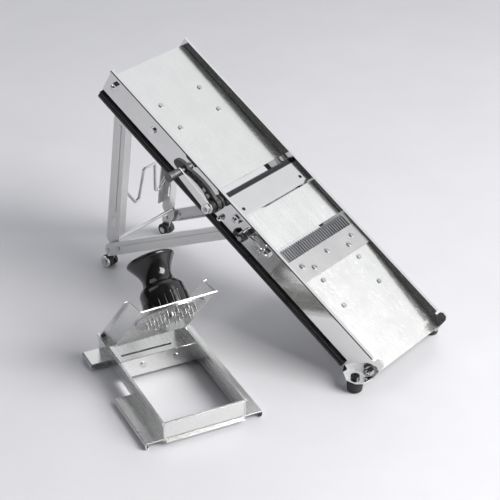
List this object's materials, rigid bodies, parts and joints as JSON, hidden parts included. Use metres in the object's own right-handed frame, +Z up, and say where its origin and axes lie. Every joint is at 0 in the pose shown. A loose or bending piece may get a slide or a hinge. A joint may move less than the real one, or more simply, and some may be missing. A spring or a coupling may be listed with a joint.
{
  "type": "mandoline slicer",
  "caption": "Standing steel mandoline slicer with julienne comb, two thickness levers, fold-out rear stand, and a loose food carriage with a black-knobbed pusher.",
  "frame": {"origin": "on the table, in the middle of the footprint of the whole set", "axes": "+X level, down-ramp towards the low end; +Y across, from the lever side to the plain side; +Z up"},
  "size_m": [0.377, 0.3372, 0.2419],
  "materials": {
    "polished_steel": "mirror polished",
    "satin_steel": "satin",
    "blade_steel": "ground and polished",
    "chrome": "polished",
    "grey_metal": "grey, satin",
    "dark_steel": "black, satin",
    "black_plastic": "gloss",
    "black_rubber": "matte"
  },
  "bodies": {
    "frame": {"blade": "blade_steel", "blade_bracket_bolts": "chrome", "blade_brackets": "satin_steel", "blade_pins": "dark_steel", "brace_bolts": "dark_steel", "comb_plate": "satin_steel", "comb_screws": "satin_steel", "guide_bolts": "chrome", "julienne_comb": "blade_steel", "low_foot_screws": "dark_steel", "low_rubber_feet": "black_rubber", "lower_plate": "polished_steel", "lower_plate_bolts": "chrome", "lower_plate_rivets": "satin_steel", "lower_plate_stiffener": "satin_steel", "middle_pivot_bolts": "chrome", "runner_rail_left": "black_plastic", "runner_rail_right": "black_plastic", "side_wall_left": "polished_steel", "side_wall_right": "polished_steel", "stop_pins": "chrome", "top_pivot_bolts": "chrome"},
    "upper_lever": {"upper_lever_shaft": "satin_steel", "upper_lever_link": "satin_steel", "upper_lever_hub": "dark_steel", "upper_lever_arm": "dark_steel", "upper_lever_handle": "grey_metal", "upper_lever_nut": "chrome", "upper_lever_screws": "satin_steel"},
    "upper_plate": {"upper_plate": "polished_steel", "upper_plate_stiffener": "satin_steel", "upper_plate_rivets": "satin_steel"},
    "lower_lever": {"lower_lever_shaft": "satin_steel", "lower_lever_collar": "chrome", "lower_lever_arm": "polished_steel", "lower_lever_nut": "dark_steel"},
    "middle_plate": {"middle_plate": "polished_steel"},
    "rear_stand": {"stand_leg_left": "polished_steel", "stand_leg_right": "polished_steel", "stand_cross_rod": "chrome", "stand_wire": "chrome", "stand_feet": "black_rubber", "stand_foot_caps": "satin_steel", "stand_foot_screws": "satin_steel"},
    "braces": {"stand_brace_left": "polished_steel", "stand_brace_right": "polished_steel", "brace_rivets": "satin_steel"},
    "carriage": {"carriage_left_side": "polished_steel", "carriage_right_side": "polished_steel", "carriage_front_wall": "polished_steel", "carriage_rear_deck": "polished_steel", "carriage_stop_strip": "polished_steel", "carriage_rivets": "satin_steel"},
    "pusher": {"pusher_plate": "polished_steel", "pusher_disc": "satin_steel", "pusher_prongs": "blade_steel", "pusher_knob": "black_plastic", "pusher_knob_base": "black_plastic", "pusher_screw": "satin_steel"}
  },
  "joints": [
    {"name": "upper_lever_turn", "type": "hinge", "parent": "frame", "child": "upper_lever", "pos_m": [-0.01109, 0.09495, 0.14215], "axis": [0, 1, 0], "range_deg": [0, 23.5]},
    {"name": "upper_plate_tilt", "type": "hinge", "parent": "frame", "child": "upper_plate", "pos_m": [-0.15141, 0.09495, 0.22421], "axis": [0, -1, 0], "range_deg": [0, 2.45]},
    {"name": "lower_lever_turn", "type": "hinge", "parent": "frame", "child": "lower_lever", "pos_m": [0.02224, 0.09495, 0.11619], "axis": [0, -1, 0], "range_deg": [0, 26]},
    {"name": "middle_plate_tilt", "type": "hinge", "parent": "frame", "child": "middle_plate", "pos_m": [0.0465, 0.09495, 0.10409], "axis": [0, -1, 0], "range_deg": [0, 7.2]},
    {"name": "stand_fold", "type": "hinge", "parent": "frame", "child": "rear_stand", "pos_m": [-0.15141, 0.09495, 0.22421], "axis": [0, -1, 0], "range_deg": [0, 56]},
    {"name": "brace_fold", "type": "hinge", "parent": "frame", "child": "braces", "pos_m": [0.00979, 0.09495, 0.11414], "axis": [0, -1, 0], "range_deg": [-52, 0]},
    {"name": "carriage_lift", "type": "slide", "parent": "frame", "child": "carriage", "axis": [0, 0, 1], "range_m": [0, 0.3]},
    {"name": "pusher_lift", "type": "slide", "parent": "carriage", "child": "pusher", "axis": [0, 0, 1], "range_m": [0, 0.12]}
  ],
  "couplings": [
    {"joint": "upper_plate_tilt", "follows": "upper_lever_turn", "ratio": 0.10426},
    {"joint": "middle_plate_tilt", "follows": "lower_lever_turn", "ratio": 0.27692},
    {"joint": "brace_fold", "follows": "stand_fold", "ratio": -0.92857}
  ]
}
